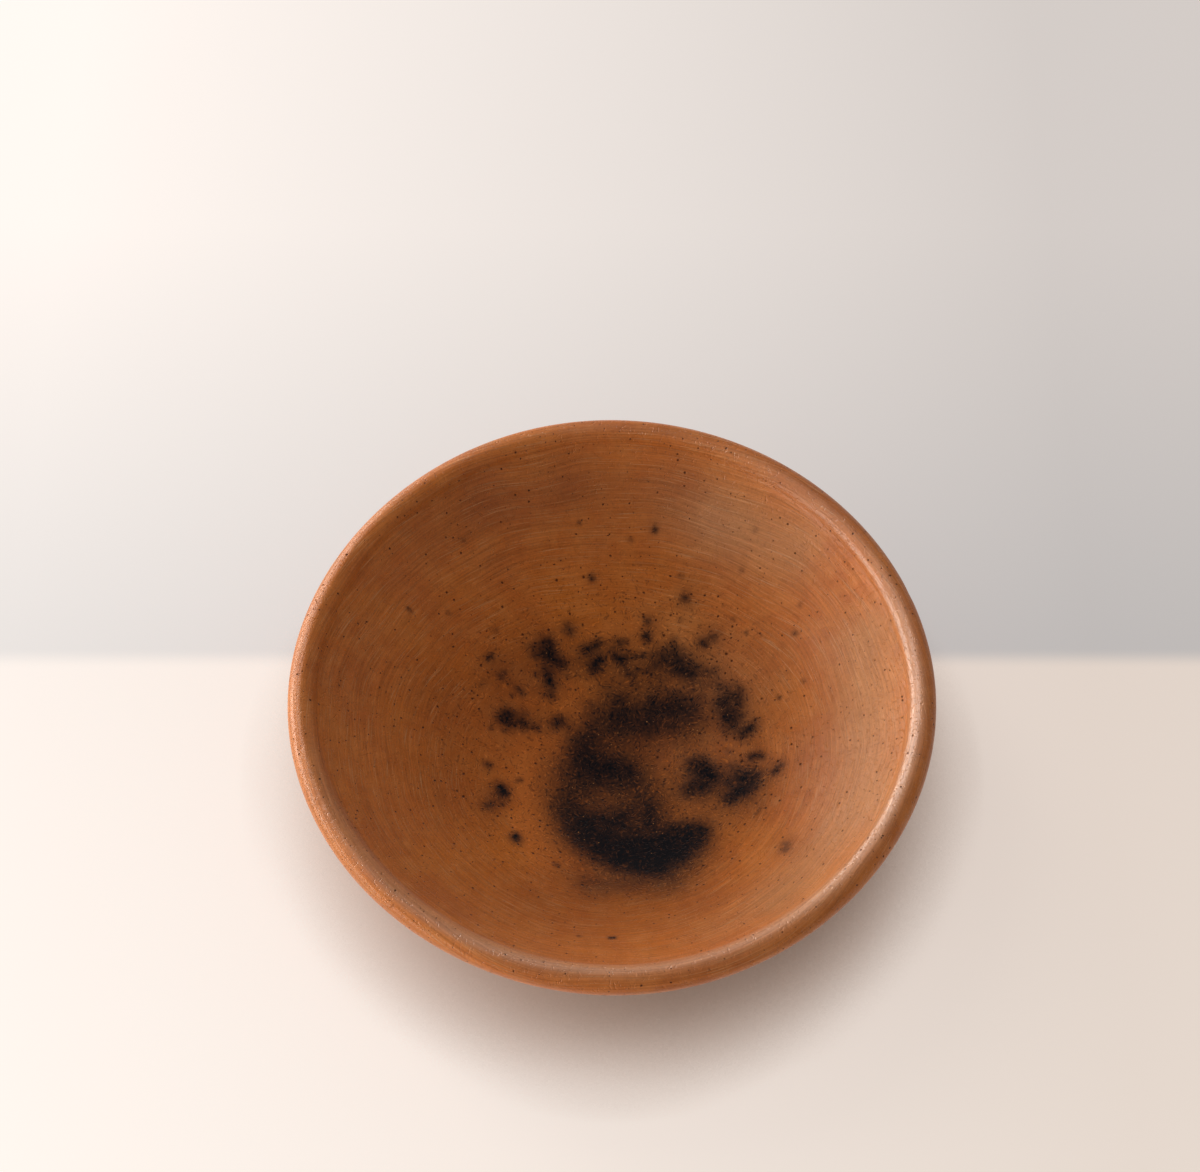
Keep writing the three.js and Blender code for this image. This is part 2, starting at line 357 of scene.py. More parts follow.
# Brown veil of thin smoke round the black, in the same form
smokeVeil = [
    (3, 12, 24, 10, 10, 0.8), (-8, 3, -14, -20, 6, 0.85), (-8, -30, 20, -41, 9, 0.9),
    (4, -6, 10, -18, 10, 0.86), (28, -10, 44, -14, 6.5, 0.6), (38, 12, 42, 4, 4, 0.45),
    (-9, 31, 22, 29, 4.4, 0.5), (2, 23, 14, 24, 3.6, 0.35), (-20.5, 33, -20, 22, 4, 0.45),
    (-34, 10, -22, 9, 4, 0.35), (-35, -17, -38.5, -24, 3, 0.45), (-6, -52, 18, -53, 5.5, 0.6),
    (30, -17, 42, -18, 4, 0.4), (6, -25, 14, -26, 4, 0.5), (7, -12, 14, -22, 6, 0.3),
    (-24, 28, 0, 34, 9, 0.24), (30, -25, 42, -24, 6, 0.35), (16, 32, 26, 26, 4, 0.5),
    (24, 49, 25, 48, 3, 0.35), (12, 40, 12, 43, 3, 0.3), (30, 35, 33, 36, 3.5, 0.35),
    (53, -45, 53.4, -44, 2.8, 0.35), (-17.5, 11, -16, 11, 2.6, 0.4), (-14, 41, -13, 40, 2.4, 0.3),
    (-6.4, 56, -6, 56, 2, 0.2), (14.2, 69, 14.4, 69, 2, 0.2), (-39.5, -8.3, -39.4, -8.3, 2, 0.25),
    (-30, -35.5, -30, -35.6, 2.2, 0.35), (32, 24, 36, 19, 4, 0.35), (-39, 28, -34, 22, 4, 0.25),
    (52, -14, 53, -12, 2, 0.3), (-21, -4, -22, -14, 4, 0.25), (44, -6, 46, -3, 3, 0.2),
]
# Warm orange clay that the smoke kept clear of, and darker patches, partly clay fired darker and partly
# painted shade
brightClay = [
    (-24, 2, -24, -14, 6, 0.5), (-24, -14, -25, -30, 6, 0.85), (-24, -32, -20, -42, 5.0, 1.0),
    (-13, 20, -14, 10, 4, 0.7), (-17, -37, -17, -42, 3.5, 0.7), (-6, 41, 6, 41, 3, 0.3),
    (24, -22, 30, -22, 3, 0.4),
]
# painted shade on the left wall, on the bottom and under the far rim, with clay fired darker in other
# places
firedDarkClayAndShade = [
    (-36, 20, -28, 30, 9, 0.5), (-40, -18, -40, -34, 5, 0.4), (-36, 0, -40, 12, 6, 0.3),
    (-52, 14, -52, -24, 9, 0.6), (-36, -52, -26, -60, 7, 0.3), (-16, -64, 26, -64, 8, 0.45),
    (46, 4, 50, 24, 6, 0.4), (44, -30, 56, -20, 7, 0.35), (58, 6, 62, -12, 6, 0.2),
    (-16, -48, -4, -56, 5, 0.4), (-44, 70, -14, 81, 6, 0.5), (-14, 81, 24, 80, 6, 0.6),
    (-60, 60, -40, 74, 6, 0.3),
]
# Pale greyish patches on the right and lower right of the wall, where the window's sheen falls: partly
# paler clay and partly painted sheen
palePatchesAndSheen = [
    (34, 70, 58, 56, 9, 0.7), (20, 76, 40, 66, 7, 0.4), (80, 22, 78, -34, 9, 0.85),
    (72, -42, 50, -66, 8, 0.75), (50, -66, 30, -76, 6, 0.35), (22, 40, 46, 14, 9, 0.35),
]
# Where the pebble closed the wall best
rubbedClay = [(34, 24, 60, 26, 11, 0.8), (34, 70, 60, 54, 9, 0.7), (60, -10, 66, -40, 10, 0.35)]


strokeSpread = 1.25  # how far a stroke fades out, in half widths
softEdge, firmEdge = 2, 4  # powers of that fall


# Darkness of a list of strokes: each falls off with a power of the distance to its line, and they add
# up like layers
def strokeDensity(strokes, x, y, power=softEdge):
    clear = np.ones_like(x)
    for x0, y0, x1, y1, width, strength in strokes:
        runX, runY = x1 - x0, y1 - y0
        share = np.clip(((x - x0) * runX + (y - y0) * runY) / (runX ** 2 + runY ** 2 + 1e-9), 0, 1)
        distance = np.hypot(x - x0 - share * runX, y - y0 - share * runY) / (strokeSpread * width)
        clear *= 1 - np.clip(strength * np.exp(-(distance ** power)), 0, 1)
    return 1 - clear


allClouds = [stroke for strokes in fireClouds.values() for stroke in strokes]

# Fire clouds outside: turn in degrees, arc below the rim's top, half widths along the turn and the
# wall, and strength
outsideClouds = [
    (140, 45, 30, 17, 0.85), (158, 58, 18, 12, 0.7), (118, 34, 16, 8, 0.45), (-30, 62, 22, 10, 0.6),
    (-12, 50, 9, 6, 0.5), (60, 70, 14, 9, 0.5), (235, 30, 10, 5, 0.4), (262, 66, 16, 9, 0.45),
    (190, 22, 6, 3, 0.4),
]
outsideEdge = 2.4  # power of their fall
outsideSoot = (0.35, 1.0)  # the smoke that leaves no soot, and the smoke that leaves the most


# Darkness outside: each cloud falls off with a power of its distance, measured in its own half widths
def outsideDensity(arc, turn, radius):
    clear = np.ones((len(arc), len(turn)))
    for degrees, below, halfTurn, halfWallRun, strength in outsideClouds:
        aside = ((turn[None] - math.radians(degrees) + np.pi) % (2 * np.pi) - np.pi) * radius
        distance = np.hypot(aside / halfTurn, (arc[:, None] - rimTopArc - below) / halfWallRun)
        clear *= 1 - strength * np.exp(-(distance ** outsideEdge))
    return 1 - clear


# Wear of the rim with its painted highlight, and its sheen, with places as mm of arc past the rim's top
rimWork = {
    "wearHighlightMiddle": -2.4,  # paler on the inner side: partly rubbed by hands and partly a painted highlight, most on the near right and least on the far side
    "wearHighlightWidth": 3.2,
    "wearHighlightLevel": 0.42,
    "wearHighlightWaves": [(1, 0.5, 1.05), (3, 0.08, 0.5), (7, 0.05, 0.0)],  # in one turn, strength, start
    # The band that was rubbed to a sheen faces right. Its middle, width and strength are each a constant
    # plus shares of the turn's cosine, sine and squared cosine.
    "bandMiddle": (-1.15, -2.3, 0.75, 1.05),
    "bandWidth": (1.6, 0.6, 0.0, 0.8),
    "bandStrength": (0.6, 0.25, -0.3, 0.0),
    "dustHighlightMiddle": 6.0,  # painted highlight in a pale dust colour on the outer left, the side that faces the window
    "dustHighlightWidth": 5.0,
    "dustHighlightStrength": 0.35,
    "insideSheen": 0.4,  # how much the rubbed parts of the wall have of the rim's sheen
}


# The rim is paler, partly rubbed and partly a painted highlight: a bell curve of the arc times a sum of
# cosine waves round the turn
def rimWearAndHighlight(arc, turn):
    uneven = rimWork["wearHighlightLevel"]
    for count, strength, start in rimWork["wearHighlightWaves"]:
        uneven = uneven + strength * np.cos(count * turn + start)
    bell = np.exp(-(((arc - rimTopArc - rimWork["wearHighlightMiddle"]) / rimWork["wearHighlightWidth"]) ** 2))
    return bell * np.clip(uneven, 0, 1)


# Sheen of the bead: a flat-topped band of the arc, whose middle, width and strength follow the turn
def beadSheen(arc, turn):
    shares = np.stack([np.ones_like(turn), np.cos(turn), np.sin(turn), np.cos(turn) ** 2])
    middle, width, strength = [
        np.array(rimWork[key]) @ shares for key in ("bandMiddle", "bandWidth", "bandStrength")
    ]
    return np.exp(-(((arc - rimTopArc - middle) / width) ** firmEdge)) * strength


# Painted highlight on the bead, in a pale dust colour: a bell curve of the arc, times how far the turn
# faces left, towards the window
def beadDustAndHighlight(arc, turn):
    bell = np.exp(-(((arc - rimTopArc - rimWork["dustHighlightMiddle"]) / rimWork["dustHighlightWidth"]) ** 2))
    return rimWork["dustHighlightStrength"] * bell * np.clip(-np.cos(turn), 0, 1)


# Meshes
meshGrid = {
    "turnSteps": 880,
    "insideStep": 0.52,  # mm between rows
    "outsideStep": 0.8,
    "fineRim": 8.0,  # mm past the rim's top, which have the closer rows too
    "lapRows": 3,
}
turnAngles = np.linspace(0, 2 * np.pi, meshGrid["turnSteps"], endpoint=False)
fineEnd = rimTopArc + meshGrid["fineRim"]


# Equal steps from one arc length to another
def arcRows(start, end):
    step = meshGrid["insideStep"] if end <= fineEnd else meshGrid["outsideStep"]
    return np.linspace(start, end, max(2, int(math.ceil((end - start) / step)) + 1))


# Straight rows between the last row of one skin and the first row of the next, which make a lap's face
def lapFace(fromRow, toRow):
    share = np.linspace(0, 1, meshGrid["lapRows"] + 2)[1:-1, None, None]
    return fromRow[None] * (1 - share) + toRow[None] * share


# One closed piece: rows of points, each a full turn, are joined to quads. A ring joins its last row to
# its first, and a pad closes on the axis at both ends with fans of triangles.
def clayPiece(name, slot, skins):
    turns = meshGrid["turnSteps"]
    blocks, arcs, sharpRows = [], [], []
    for arc in skins:
        rows = skin(arc, turnAngles)
        if blocks:
            face = lapFace(blocks[-1][-1], rows[0])
            blocks.append(face)
            arcs.append(np.linspace(arcs[-1][-1], arc[0], len(face)))
        blocks.append(rows)
        arcs.append(arc)
    isRing = skins[0][0] > 0
    if isRing:
        face = lapFace(blocks[-1][-1], blocks[0][0])
        blocks.append(face)
        arcs.append(np.linspace(arcs[-1][-1], arcs[0][0], len(face)))
    count = 0
    for number, block in enumerate(blocks):
        isSkin = number % 2 == 0
        if isSkin and (isRing or number > 0):
            sharpRows.append(count)
        count += len(block)
        if isSkin and (isRing or number < len(blocks) - 1):
            sharpRows.append(count - 1)
    grid = np.concatenate(blocks)
    arcOfRow = np.concatenate(arcs)
    rowCount = len(grid)

    index = np.arange(rowCount * turns).reshape(rowCount, turns)
    if not isRing:  # the first and last rows are single points on the axis
        index[0] = 0
        index[1:-1] = 1 + np.arange((rowCount - 2) * turns).reshape(rowCount - 2, turns)
        index[-1] = 1 + (rowCount - 2) * turns
    below = index if isRing else index[:-1]
    above = np.roll(index, -1, axis=0) if isRing else index[1:]
    quads = np.stack([below, above, np.roll(above, -1, axis=1), np.roll(below, -1, axis=1)], -1)
    if isRing:
        quads = quads.reshape(-1, 4)
        triangles = np.zeros((0, 3), int)
    else:
        triangles = np.concatenate([quads[0][:, [0, 1, 2]], quads[-1][:, [0, 1, 3]]])
        quads = quads[1:-1].reshape(-1, 4)
    vertexCount = index.max() + 1
    position = np.zeros((vertexCount, 3))
    position[index] = grid
    rowOfVertex = np.zeros(vertexCount, int)
    rowOfVertex[index] = np.arange(rowCount)[:, None]

    mesh = bpy.data.meshes.new(name)
    mesh.vertices.add(vertexCount)
    mesh.vertices.foreach_set("co", (position * mm).ravel())
    corners = np.concatenate([triangles.ravel(), quads.ravel()])
    mesh.loops.add(len(corners))
    mesh.loops.foreach_set("vertex_index", corners.astype(np.int32))
    mesh.polygons.add(len(triangles) + len(quads))
    firstQuad = len(triangles) * 3
    starts = np.concatenate([np.arange(len(triangles)) * 3, firstQuad + np.arange(len(quads)) * 4])
    mesh.polygons.foreach_set("loop_start", starts.astype(np.int32))
    mesh.update(calc_edges=True)
    mesh.validate()
    mesh.polygons.foreach_set("use_smooth", np.ones(len(mesh.polygons), bool))

    ends = np.zeros(len(mesh.edges) * 2, np.int32)
    mesh.edges.foreach_get("vertices", ends)
    endRows = rowOfVertex[ends].reshape(-1, 2)
    isSharp = (endRows[:, 0] == endRows[:, 1]) & np.isin(endRows[:, 0], sharpRows)
    mesh.attributes.new("sharp_edge", "BOOLEAN", "EDGE").data.foreach_set("value", isSharp)

    arcOfVertex = arcOfRow[rowOfVertex]
    isInside = arcOfVertex < rimTopArc
    x, y = position[:, 0], position[:, 1]
    turnOfVertex = np.arctan2(y, x)
    radius = np.hypot(grid[..., 0], grid[..., 1])
    outside = np.zeros(vertexCount)
    outside[index] = outsideDensity(arcOfRow, turnAngles, radius)
    values = {
        "reach": arcOfVertex * mm,
        "soot": np.where(isInside, strokeDensity(allClouds, x, y), smoothStep(*outsideSoot, outside)),
        "veil": np.where(isInside, strokeDensity(smokeVeil, x, y), outside),
        "bright": np.where(isInside, strokeDensity(brightClay, x, y, firmEdge), 0),
        # darker patches: clay fired darker, and painted shade
        "baked": np.where(isInside, strokeDensity(firedDarkClayAndShade, x, y), 0),
        # inside: pale patches, partly painted sheen; outside: the painted highlight on the bead's outer
        # left
        "haze": np.where(isInside, strokeDensity(palePatchesAndSheen, x, y), beadDustAndHighlight(arcOfVertex, turnOfVertex)),
        # pale band on the rim: wear and painted highlight
        "worn": rimWearAndHighlight(arcOfVertex, turnOfVertex),
        "rubbed": np.where(isInside, strokeDensity(rubbedClay, x, y), 0) * rimWork["insideSheen"]
        + beadSheen(arcOfVertex, turnOfVertex),
    }
    for key, value in values.items():
        mesh.attributes.new(key, "FLOAT", "POINT").data.foreach_set("value", value.astype(np.float32))

    piece = bpy.data.objects.new(name + "_fired", mesh)
    bpy.context.scene.collection.objects.link(piece)
    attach(piece, "root")
    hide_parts(name)
    solidBox = np.array([list(corner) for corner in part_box(name)]) / mm
    gap = np.abs(np.stack([position.min(0), position.max(0)]) - solidBox).max()
    print(f"{name}: {len(mesh.polygons)} faces, {gap:.2f} mm from its solid's box")
    return piece


slots = ["floor_clay"] + ["wall_clay"] * 4 + ["rim_clay"]
pieces = []
for number, name in enumerate(coils["names"]):
    if number == 0:
        spans = [arcRows(0, laps[0][0]), arcRows(laps[0][1], wholeArc)]
    elif number < len(laps):
        spans = [
            arcRows(laps[number - 1][0], laps[number][0]),
            arcRows(laps[number][1], laps[number - 1][1]),
        ]
    else:
        spans = [np.concatenate([
            arcRows(laps[-1][0], fineEnd),
            arcRows(fineEnd, laps[-1][1])[1:],
        ])]
    pieces.append(clayPiece(name, slots[number], spans))


# Materials
def linearColour(hexCode):
    channels = np.array([int(hexCode[i:i + 2], 16) for i in (1, 3, 5)]) / 255
    linear = np.where(channels <= 0.04045, channels / 12.92, ((channels + 0.055) / 1.055) ** 2.4)
    return (*linear, 1)


def linearColours(look):
    return {key: linearColour(value) for key, value in look.items() if str(value).startswith("#")}


# Settings that many nodes share
times, plus, minus, over, toPower, larger, backAndForth = [
    {"operation": name}
    for name in ("MULTIPLY", "ADD", "SUBTRACT", "DIVIDE", "POWER", "MAXIMUM", "PINGPONG")
]
timesPlus, scaledBy = {"operation": "MULTIPLY_ADD"}, {"operation": "SCALE"}
clampedSum, clampedTimes = [{"operation": name, "use_clamp": True} for name in ("ADD", "MULTIPLY")]
straight, softStep = {"interpolation_type": "LINEAR"}, {"interpolation_type": "SMOOTHSTEP"}


# Clears the nodes of a material or a world, and returns the functions that add new ones
def nodeTools(owner):
    owner.use_nodes = True
    tree = owner.node_tree
    tree.nodes.clear()

    # Adds one node and returns one of its outputs. An input gets a value, or a link if it is an output.
    def add(kind, properties=None, inputs=None, output=0):
        node = tree.nodes.new("ShaderNode" + kind)
        for key, value in (properties or {}).items():
            setattr(node, key, value)
        for key, value in (inputs or {}).items():
            if isinstance(value, bpy.types.NodeSocket):
                tree.links.new(value, node.inputs[key])
            else:
                node.inputs[key].default_value = value
        return node.outputs[output] if node.outputs else node

    def calc(operation, *values):
        return add("Math", operation, dict(enumerate(values)))

    # Brings a value from one range to another, and holds it at the ends
    def ranged(shape, value, low=0, high=1, toLow=0, toHigh=1):
        return add("MapRange", shape, dict(enumerate((value, low, high, toLow, toHigh))))

    # A share of 0 gives the first colour, and 1 the second
    def mixed(share, first, second):
        return add("Mix", {"data_type": "RGBA"}, {0: share, 6: first, 7: second}, 2)

    return add, calc, ranged, mixed


# Terracotta: coarse red earthenware, wiped with a wet cloth, rubbed with a pebble and fired unglazed.
# To the eye: a warm skin with a soft sheen, fine rings and curly marks from the wiping, small open
# pores, and smoke-black clouds with soft edges that have no sheen.
terracotta = {
    "clay": "#c56e22",
    "redder": "#ba6422",
    "paler": "#cf8243",
    "bright": "#cf732b",
    # dark brown of the darker fired clay and of the painted shade
    "baked": "#8f4716",
    # pale greyish brown of the pale patches, of the painted sheen and of the bead's painted highlight
    "haze": "#b38355",
    # pale pink of the rim's wear and of its painted highlight
    "worn": "#cf9770",
    "scratch": "#d19a68",
    "pore": "#4a240f",
    "smoke": "#34201a",
    "soot": "#080b13",
    "grit": "#c98a52",
    "marks": {"bright": 0.7, "haze": 0.6, "baked": 0.7, "worn": 0.8},  # most that they cover
    "roughness": 0.5,
    "sootRoughness": 0.9,
    "ior": 1.45,
    "specular": 0.12,  # the body under the sheen is dull
    "wallSheen": 0.17,  # how much of the skin the pebble closed
    "rimSheen": 1.0,
    "sheenStart": (50.0, 0.2),  # mm along the clay, and the share of the sheen up to there
    "sheenEnd": (95.0, 1.2),
    "sheenRoughness": 0.27,
    "sheenIor": 1.85,
    "sheenSpread": (0.75, 1.25),  # the sheen is this uneven
    "dust": 0.13,  # dry clay pales where it is seen aslant
    "dustRoughness": 0.5,
    "noises": {  # size in mm, octaves, and how far they are bent
        "patches": (26.0, 3, 0),  # slow changes of the clay's colour
        "smallPatches": (6.5, 3, 0),
        "mottle": (3.2, 2, 0.4),
        "drift": (45.0, 1, 0),  # the hairlines wander on this
        "billow": (3.6, 2, 0.3),  # uneven smoke
        "tear": (0.9, 3, 0),  # ragged edges of the soot
        "grain": (0.75, 1, 0),
        "swirl": (6.0, 2, 0.6),  # curly scratches run round its hills
        "swirlPlaces": (1.2, 2, 0),
    },
    "noiseRoughness": 0.55,
    "noiseRange": (0.3, 0.7),  # nearly all of a noise lies between these
    "smallRange": (0.35, 0.75),  # the small patches come up between these
    "smallCover": 0.3,
    # Crosswise wiping up to the first, and rings past the second, in mm along the clay
    "ringStart": (32.0, 64.0),
    # Hairlines from the cloth's threads: width in mm, marks in one radian of the turn, octaves, and how
    # far off the axis their rings are centred, in mm, so that the two sets cross
    "threads": (0.55, 3.0, 3, 7.0),
    "scratches": (0.27, 5.0, 1, 17.0),
    "threadRoughness": 0.65,
    "scratchPlaces": (0.6, 0.7),  # they come up where their noise is above this
    "scratchCover": 0.45,
    "ringDrift": 4.0,  # mm, both wander this far
    "poreSpacing": 2.2,  # mm
    "poreRadius": (0.168, 0.42),  # mm, of the smallest and the largest
    "poreRarity": 2.5,  # few are large
    "poreGrowth": 1.4,  # they are this much larger in the middle
    "poreDrift": 0.5,  # mm, how uneven their outlines are
    "poreEdge": (0.5, 1.2),  # their edges fade between these shares of the radius
    "poreCover": 0.9,
    "gritSpacing": 3.0,  # mm
    "gritRadius": 0.24,  # mm
    "gritCore": 0.6,  # share of the radius that has the full colour
    "gritCover": 0.9,
    "curlLines": 9,  # curly scratches up one hill
    "curlCrests": (0.05, 0.6),  # where the light line ends and the dark one begins, in half spacings
    "curlRise": 0.35,  # how soft both are
    "curlPlaces": (0.505, 0.565),  # they come up where a noise is above this
    "middleReach": (45.0, 75.0),  # mm along the clay, where the marks of the middle fade
    "middleLeft": 0.25,  # share of them that is left on the wall
    # How far the marks lighten or darken the clay
    "threadTone": 0.2,
    "mottleTone": 0.2,
    "grainTone": 0.24,
    # the curls' light and dark lines: a painted highlight and painted shade
    "curlTone": 0.3,
    "curlShadeTone": -0.42,
    # How far they change the smoke's and the soot's cover
    "billowRange": (0.25, 0.75),  # nearly all of its noise lies between these
    "billowCover": 0.07,
    "tearCover": 0.11,
    "curlShadeCover": 0.2,
    "raggedFrom": 0.35,  # thinner smoke has smoother edges
    "smokeEdge": (0.8, 0.7),  # how ragged it is, and the share that is left along the curls
    "sootEdge": (1.0, 0.88),
    # Relief in mm
    "threadHeight": 0.09,
    "grainHeight": 0.05,
    "mottleHeight": 0.05,
    "curlHeight": -0.1,
    "poreHeight": -0.2,
}


def clayMaterial():
    look = terracotta
    colours = linearColours(look)
    material = bpy.data.materials.new("firedTerracotta")
    add, calc, ranged, mixed = nodeTools(material)
    place = add("TexCoord", output="Object")
    reach, soot, veil, bright, baked, haze, worn, rubbed = [
        add("Attribute", {"attribute_name": key}, output="Fac")
        for key in ("reach", "soot", "veil", "bright", "baked", "haze", "worn", "rubbed")
    ]

    # Noise on the clay itself, each at its own size, from 0 to 1
    patches, smallPatches, mottle, drift, billow, tear, grain, swirl, swirlPlaces = [
        add("TexNoise", None, {
            "Vector": place, "Scale": 1 / (size * mm), "Detail": octaves, "Distortion": bend,
            "Roughness": look["noiseRoughness"],
        })
        for size, octaves, bend in look["noises"].values()
    ]

    # The clay's colour, paler and redder in patches, with the marks that the mesh carries, some of them
    # painted shade, painted sheen and painted highlight
    patchShare = ranged(softStep, patches, *look["noiseRange"])
    smallShare = ranged(softStep, smallPatches, *look["smallRange"], 0, look["smallCover"])
    colour = mixed(patchShare, colours["redder"], colours["clay"])
    colour = mixed(smallShare, colour, colours["paler"])
    for mask, key in ((bright, "bright"), (haze, "haze"), (baked, "baked"), (worn, "worn")):
        colour = mixed(calc(times, mask, look["marks"][key]), colour, colours[key])

    # Hairlines: noise over the direction from the axis and the arc length, which wanders and leans.
    # The direction is scaled to give marks in a radian, and the arc length to give their width.
    flat = add("VectorMath", times, {0: place, 1: (1, 1, 0)})
    direction = add("VectorMath", {"operation": "NORMALIZE"}, {0: flat})
    towardsBack = add("SeparateXYZ", None, {0: direction}, 1)
    wander = calc(timesPlus, drift, 2 * look["ringDrift"] * mm, reach)
    threads, scratches = [
        add("TexNoise", None, {
            "Scale": 1.0, "Detail": octaves, "Roughness": look["threadRoughness"],
            "Vector": add("VectorMath", plus, {
                0: add("VectorMath", scaledBy, {0: direction, "Scale": perRadian}),
                1: add("CombineXYZ", None, {
                    2: calc(times, calc(timesPlus, towardsBack, offAxis * mm, wander), 1 / (width * mm)),
                }),
            }),
        })
        for width, perRadian, octaves, offAxis in (look["threads"], look["scratches"])
    ]
    ringFrom, ringTo = look["ringStart"]
    onWall = ranged(softStep, reach, ringFrom * mm, ringTo * mm)
    scratched = ranged(softStep, scratches, *look["scratchPlaces"], 0, look["scratchCover"])
    colour = mixed(calc(times, scratched, onWall), colour, colours["scratch"])
    change = look["threadTone"]
    threadTone = ranged(straight, threads, *look["noiseRange"], -change, change)
    tone = calc(timesPlus, threadTone, onWall, 1)
    for part, change in ((mottle, look["mottleTone"]), (grain, look["grainTone"])):
        tone = calc(minus, calc(timesPlus, part, change, tone), change / 2)

    # Curls: height lines of a smooth noise, each a light line with a dark one beside it, kept in
    # scattered places. The light line is a painted highlight and the dark one painted shade, as on the
    # two sides of a small ridge, over the curls' real relief. They are about 0.3 mm wide, coarser than
    # most of the real ones, so that they show.
    heightLine = calc(backAndForth, calc(times, swirl, 2 * look["curlLines"]), 1)
    curlPlace = ranged(softStep, swirlPlaces, *look["curlPlaces"])
    curls, curlShade = [
        calc(times, curlPlace, ranged(
            softStep, heightLine, crest, crest + look["curlRise"], atCrest, 1 - atCrest,
        ))
        for crest, atCrest in zip(look["curlCrests"], (1, 0))
    ]
    middleFrom, middleTo = look["middleReach"]
    inMiddle = ranged(softStep, reach, middleFrom * mm, middleTo * mm, 1, look["middleLeft"])
    for line, change in ((curls, look["curlTone"]), (curlShade, look["curlShadeTone"])):
        tone = calc(timesPlus, calc(times, line, inMiddle), change, tone)
    colour = add("VectorMath", scaledBy, {0: colour, "Scale": tone})

    # Pores: round pits where the surface cuts a scatter of small balls, each with a size of its own
    porePlace = add("VectorMath", timesPlus, {
        0: grain.node.outputs["Color"], 1: (look["poreDrift"] * mm,) * 3, 2: place,
    })
    poreCells = {"Scale": 1 / (look["poreSpacing"] * mm), "Vector": porePlace}
    pores = add("TexVoronoi", None, poreCells, "Distance")
    poreColour = add("TexVoronoi", None, poreCells, "Color")
    poreDice = calc(toPower, add("SeparateColor", None, {0: poreColour}), look["poreRarity"])
    smallPore, largePore = [radius / look["poreSpacing"] for radius in look["poreRadius"]]
    poreReach = ranged(straight, poreDice, 0, 1, smallPore, largePore)
    poreGrowth = ranged(straight, inMiddle, look["middleLeft"], 1, 1, look["poreGrowth"])
    poreInside = calc(over, pores, calc(times, poreReach, poreGrowth))
    poreMask = ranged(softStep, poreInside, *look["poreEdge"], 1, 0)
    colour = mixed(calc(times, poreMask, look["poreCover"]), colour, colours["pore"])

    # Smoke and soot: the clouds' own density, made uneven and ragged, kept in the curls' dark lines and
    # rubbed away along their light ones
    change = look["billowCover"]
    ragged = ranged(straight, billow, *look["billowRange"], -change, change)
    change = look["tearCover"]
    ragged = calc(plus, ragged, ranged(straight, tear, *look["noiseRange"], -change, change))
    ragged = calc(timesPlus, curlShade, look["curlShadeCover"], ragged)
    cover = []
    for cloud, (share, left) in ((veil, look["smokeEdge"]), (soot, look["sootEdge"])):
        edge = calc(times, ragged, ranged(softStep, cloud, 0, look["raggedFrom"], 0, share))
        edge = calc(clampedSum, cloud, edge)
        cover.append(calc(times, edge, ranged(straight, curls, 0, 1, 1, left)))
    smokeCover, sootCover = cover
    colour = mixed(smokeCover, colour, colours["smoke"])
    colour = mixed(sootCover, colour, colours["soot"])

    # Light grit that rubs clear of the soot
    gritCells = {"Scale": 1 / (look["gritSpacing"] * mm), "Vector": place}
    grit = add("TexVoronoi", None, gritCells, "Distance")
    gritEdge = look["gritRadius"] / look["gritSpacing"]
    gritMask = ranged(softStep, grit, gritEdge * look["gritCore"], gritEdge, look["gritCover"], 0)
    colour = mixed(calc(times, gritMask, smokeCover), colour, colours["grit"])

    # Relief in real heights in mm: hairlines, fine grain, curls and pores
    relief = calc(times, calc(times, threads, onWall), look["threadHeight"])
    for part, key in (
        (grain, "grainHeight"), (mottle, "mottleHeight"), (curls, "curlHeight"), (poreMask, "poreHeight"),
    ):
        relief = calc(timesPlus, part, look[key], relief)
    bump = add("Bump", None, {"Strength": 1.0, "Distance": mm, "Height": relief})

    # The sheen is a thin closed skin over a dull body, closest on the rim. Pores and soot have none.
    dull = calc(larger, calc(larger, smokeCover, poreMask), sootCover)
    closed = ranged(straight, rubbed, 0, 1, look["wallSheen"], look["rimSheen"])
    uneven = ranged(straight, threads, *look["noiseRange"], *look["sheenSpread"])
    closed = calc(times, closed, uneven)
    (sheenFrom, lowSheen), (sheenTo, highSheen) = look["sheenStart"], look["sheenEnd"]
    towardsRim = ranged(softStep, reach, sheenFrom * mm, sheenTo * mm, lowSheen, highSheen)
    closed = calc(times, closed, towardsRim)
    sheen = calc(clampedTimes, closed, calc(minus, 1, dull))
    roughness = ranged(straight, dull, 0, 1, look["roughness"], look["sootRoughness"])
    shader = add("BsdfPrincipled", None, {
        "Base Color": colour, "Roughness": roughness, "IOR": look["ior"],
        "Specular IOR Level": look["specular"], "Normal": bump,
        "Sheen Weight": look["dust"], "Sheen Roughness": look["dustRoughness"],
        "Coat Weight": sheen, "Coat Roughness": look["sheenRoughness"],
        "Coat IOR": look["sheenIor"], "Coat Normal": bump,
    })
    add("OutputMaterial", None, {"Surface": shader})
    return material


clay = clayMaterial()
for piece in pieces:
    piece.data.materials.append(clay)
print("clay material set")

